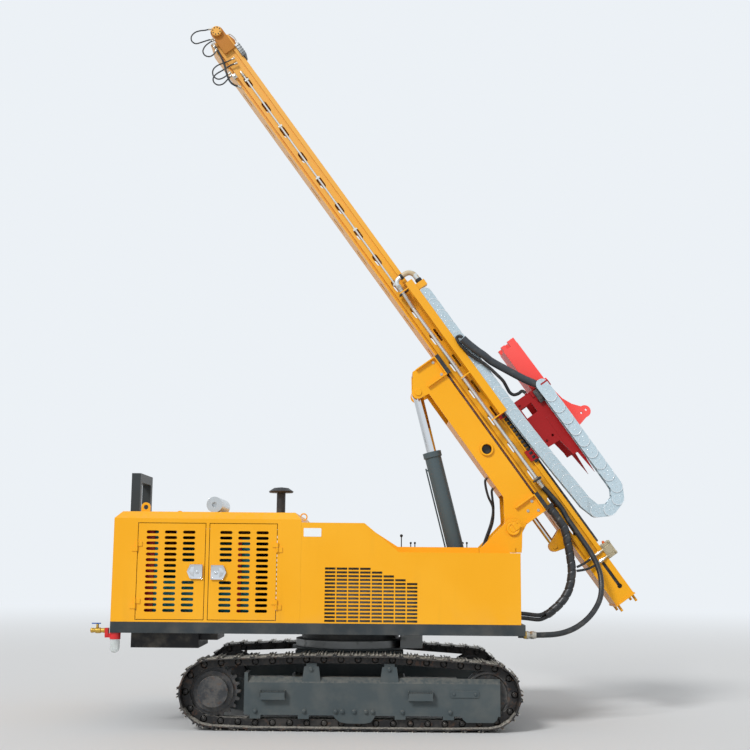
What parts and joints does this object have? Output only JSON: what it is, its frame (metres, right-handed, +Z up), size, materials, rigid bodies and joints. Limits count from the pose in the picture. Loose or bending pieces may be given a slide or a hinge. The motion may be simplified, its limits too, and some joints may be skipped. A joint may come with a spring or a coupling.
{
  "type": "pile driver rig",
  "caption": "Crawler pile driving rig with a slewing engine deck, luffing boom, sliding feed mast and hammer carriage on a drag chain.",
  "frame": {"origin": "on the ground under the middle of the object's box", "axes": "+X forward to the mast's foot, +Y to the machine's left, +Z up"},
  "size_m": [4.728, 2.06, 6.4791],
  "materials": {
    "track_steel": "worn dark steel",
    "frame_grey": "satin grey paint with dust",
    "dark_steel": "satin black paint",
    "sill_grey": "satin dark grey paint",
    "yellow_paint": "glossy orange yellow paint",
    "red_paint": "glossy red paint",
    "dark_red_paint": "satin dark red paint",
    "engine_teal": "satin teal paint",
    "fin_grey": "dull fins",
    "galvanised": "galvanised, light",
    "chrome_rod": "polished",
    "hose_rubber": "matt black",
    "cast_motor": "dull beige metal",
    "clear_bowl": "clear plastic"
  },
  "bodies": {
    "undercarriage": {"track_right": "track_steel", "track_left": "track_steel", "track_frame_right": "frame_grey", "track_frame_left": "frame_grey", "sprocket_right": "dark_steel", "sprocket_left": "dark_steel", "idler_right": "dark_steel", "idler_left": "dark_steel", "car_body": "frame_grey", "slew_ring": "dark_steel"},
    "upper": {"deck_frame": "sill_grey", "hood": "yellow_paint", "side_panel_right": "yellow_paint", "side_panel_left": "yellow_paint", "front_body": "yellow_paint", "boom_pedestals": "yellow_paint", "engine_block": "engine_teal", "cooler_block": "fin_grey", "muffler": "galvanised", "intake_stack": "dark_steel", "mast_rest": "sill_grey", "under_box": "dark_steel", "air_separator": "red_paint", "separator_bowl": "clear_bowl", "control_levers": "dark_steel", "hose_bundle": "hose_rubber", "smooth_hose": "hose_rubber", "thin_hoses": "hose_rubber"},
    "door_right_rear": {"door_right_rear": "yellow_paint"},
    "door_right_front": {"door_right_front": "yellow_paint"},
    "door_left_rear": {"door_left_rear": "yellow_paint"},
    "door_left_front": {"door_left_front": "yellow_paint"},
    "boom": {"boom": "yellow_paint", "slide_guides": "dark_steel", "slide_barrel": "sill_grey"},
    "luff_barrel": {"luff_barrel": "sill_grey"},
    "luff_rod": {"luff_rod": "chrome_rod"},
    "mast": {"mast": "yellow_paint", "mast_head": "yellow_paint", "feed_motor": "cast_motor", "feed_chain": "dark_steel", "slide_rod": "chrome_rod", "mast_pipe": "galvanised", "drag_chain_lower": "galvanised"},
    "chain_bend": {"drag_chain_bend": "galvanised"},
    "carriage": {"carriage": "dark_red_paint", "hammer_bracket": "red_paint", "drag_chain_upper": "galvanised", "carriage_sleeve": "yellow_paint", "carriage_hoses": "yellow_paint"}
  },
  "joints": [
    {"name": "slew", "type": "hinge", "parent": "undercarriage", "child": "upper", "pos_m": [-0.22405, 0, 0.7], "axis": [0, 0, 1], "continuous": true},
    {"name": "luff", "type": "hinge", "parent": "upper", "child": "boom", "pos_m": [1.23595, 0, 1.67], "axis": [0, 1, 0], "range_deg": [-52, 40], "deforming": ["hose_bundle", "smooth_hose", "thin_hoses", "carriage_sleeve", "carriage_hoses"]},
    {"name": "luff_barrel_swing", "type": "hinge", "parent": "upper", "child": "luff_barrel", "pos_m": [0.77595, 0, 1.31], "axis": [0, 1, 0], "range_deg": [-52, 40]},
    {"name": "luff_rod_slide", "type": "slide", "parent": "luff_barrel", "child": "luff_rod", "axis": [-0.2418, 0, 0.9703], "range_m": [-0.6, 0.5]},
    {"name": "mast_slide", "type": "slide", "parent": "boom", "child": "mast", "axis": [0.5835, 0, -0.8121], "range_m": [-0.1, 0.45], "deforming": ["hose_bundle", "smooth_hose"]},
    {"name": "carriage_feed", "type": "slide", "parent": "mast", "child": "carriage", "axis": [-0.5835, 0, 0.8121], "range_m": [-0.5, 4], "deforming": ["drag_chain_lower", "drag_chain_upper"]},
    {"name": "chain_bend_slide", "type": "slide", "parent": "mast", "child": "chain_bend", "axis": [-0.5835, 0, 0.8121], "range_m": [-0.25, 2]},
    {"name": "door_right_rear_swing", "type": "hinge", "parent": "upper", "child": "door_right_rear", "pos_m": [-1.99505, -0.989, 1.275], "axis": [0, 0, -1], "range_deg": [0, 110]},
    {"name": "door_right_front_swing", "type": "hinge", "parent": "upper", "child": "door_right_front", "pos_m": [-0.82305, -0.989, 1.275], "axis": [0, 0, 1], "range_deg": [0, 110]},
    {"name": "door_left_rear_swing", "type": "hinge", "parent": "upper", "child": "door_left_rear", "pos_m": [-1.99505, 0.989, 1.275], "axis": [0, 0, 1], "range_deg": [0, 110]},
    {"name": "door_left_front_swing", "type": "hinge", "parent": "upper", "child": "door_left_front", "pos_m": [-0.82305, 0.989, 1.275], "axis": [0, 0, -1], "range_deg": [0, 110]}
  ],
  "couplings": [
    {"joint": "luff_barrel_swing", "follows": "luff", "ratio": 0.89},
    {"joint": "luff_rod_slide", "follows": "luff", "m_per_rad": 0.495},
    {"joint": "chain_bend_slide", "follows": "carriage_feed", "ratio": 0.5}
  ]
}
